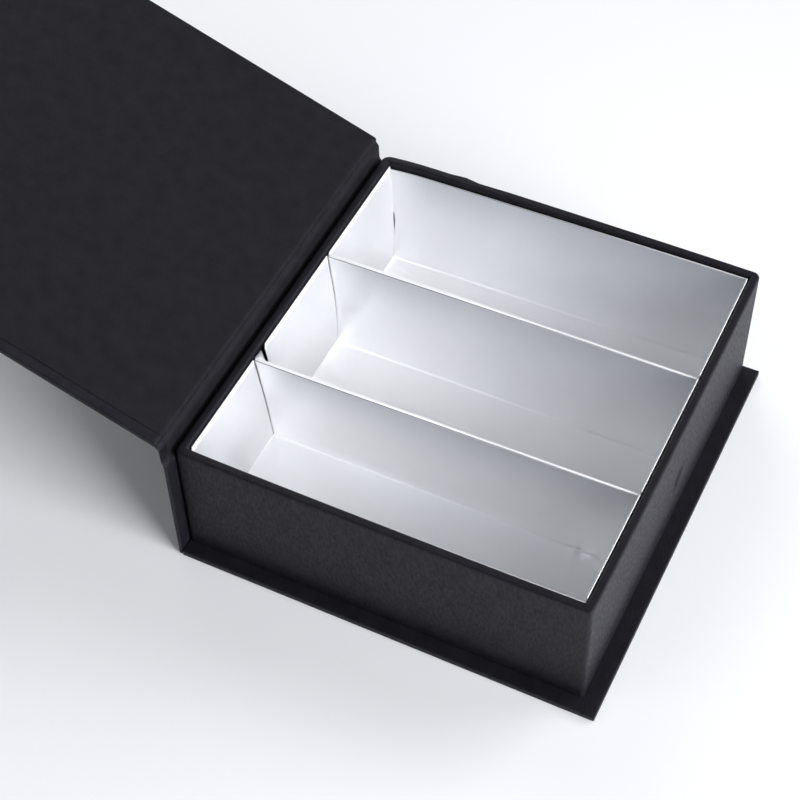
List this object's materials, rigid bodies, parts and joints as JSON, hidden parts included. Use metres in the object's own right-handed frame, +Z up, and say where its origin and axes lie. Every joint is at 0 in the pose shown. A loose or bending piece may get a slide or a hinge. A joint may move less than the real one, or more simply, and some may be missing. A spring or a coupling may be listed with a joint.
{
  "type": "magnetic gift box",
  "caption": "Rigid book-style gift box with a fold-back lid, a magnetic front flap, a wrapped tray and a folded silver card insert with long compartments.",
  "frame": {"origin": "centre of the underside of the case, on the surface that the box stands on", "axes": "+X from the spine to the front, +Y along the spine from the near side to the far side, +Z up"},
  "size_m": [0.2844, 0.132, 0.1048],
  "materials": {
    "wrap_paper": "matte black uncoated paper with a fine fibre",
    "lining_paper": "matte black uncoated paper",
    "greyboard": "raw grey recycled board",
    "tape_paper": "brown gummed paper",
    "silver_card": "satin metallised card",
    "magnet_metal": "nickel plated"
  },
  "bodies": {
    "box": {"base_board": "greyboard", "base_wrap": "wrap_paper", "spine_board": "greyboard", "spine_wrap": "wrap_paper", "spine_lining": "lining_paper", "tray_board": "greyboard", "tray_wrap": "wrap_paper", "corner_tape_1": "tape_paper", "corner_tape_2": "tape_paper", "corner_tape_3": "tape_paper", "corner_tape_4": "tape_paper", "tray_magnet": "magnet_metal", "card_insert": "silver_card", "lid_hinge": "wrap_paper"},
    "lid": {"lid_board": "greyboard", "lid_wrap": "wrap_paper", "lid_lining": "lining_paper", "flap_hinge": "wrap_paper"},
    "flap": {"flap_board": "greyboard", "flap_wrap": "wrap_paper", "flap_lining": "lining_paper", "flap_magnet": "magnet_metal"}
  },
  "joints": [
    {"name": "lid_fold", "type": "hinge", "parent": "box", "child": "lid", "pos_m": [-0.06345, 0, 0.0461], "axis": [0, 1, 0], "range_deg": [-19.6, 160.4], "deforming": ["lid_hinge"]},
    {"name": "flap_fold", "type": "hinge", "parent": "lid", "child": "flap", "pos_m": [-0.1805, 0, 0.08852], "axis": [0, 1, 0], "range_deg": [-85, 90], "deforming": ["flap_hinge"]}
  ]
}
